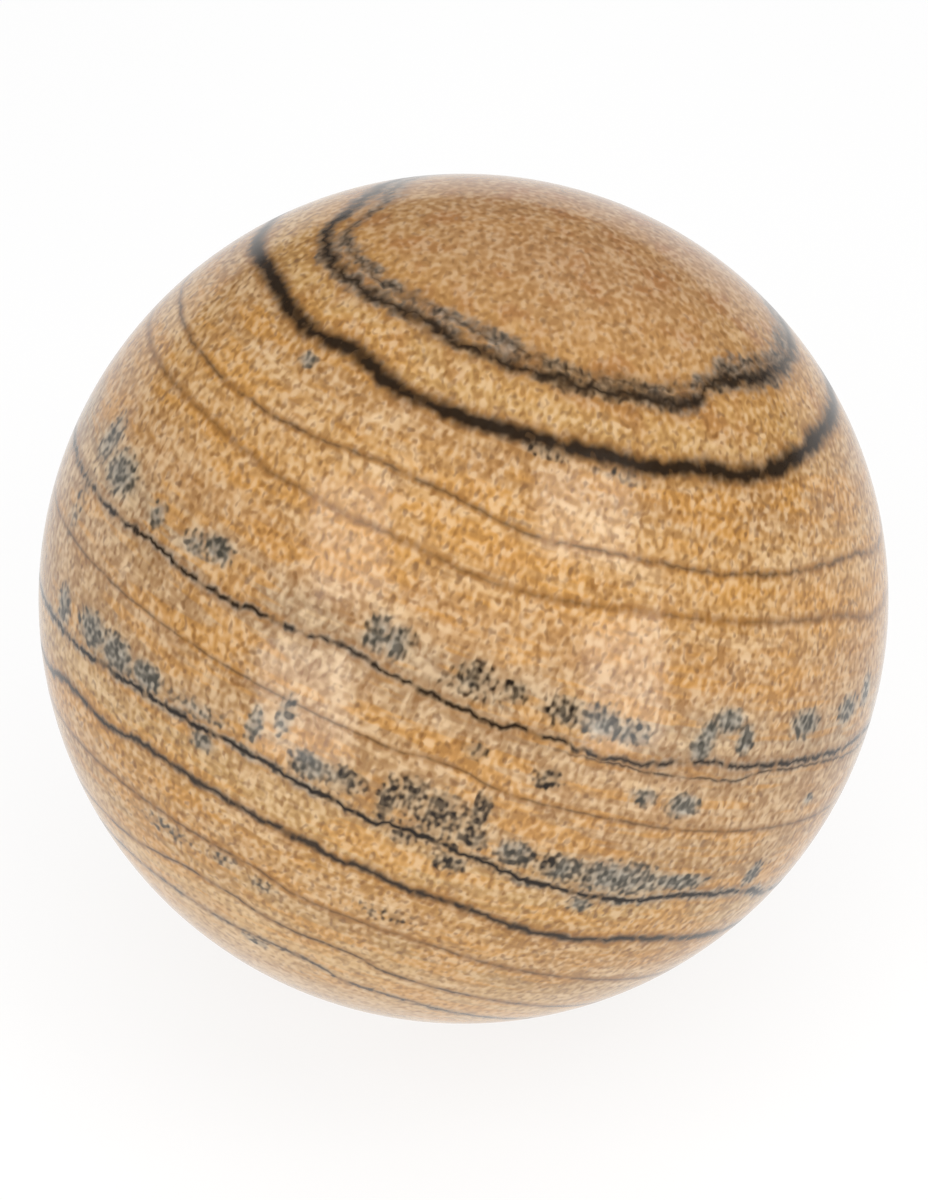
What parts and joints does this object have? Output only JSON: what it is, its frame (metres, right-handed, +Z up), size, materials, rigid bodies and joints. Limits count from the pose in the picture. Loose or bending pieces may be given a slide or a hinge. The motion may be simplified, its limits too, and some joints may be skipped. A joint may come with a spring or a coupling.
{
  "type": "decorative stone sphere",
  "caption": "Polished solid sphere of banded picture jasper, with a small flat spot ground under it so that it stands on a shelf or table.",
  "frame": {"origin": "middle of the flat spot on the underside, which the stone stands on", "axes": "+Z up through the sphere's centre, -Y towards the viewer of the pictured side, +X to that viewer's right"},
  "size_m": [0.06, 0.06, 0.0597],
  "materials": {
    "picture_jasper": "polished"
  },
  "bodies": {
    "root": {"jasper_sphere": "picture_jasper"}
  },
  "joints": []
}
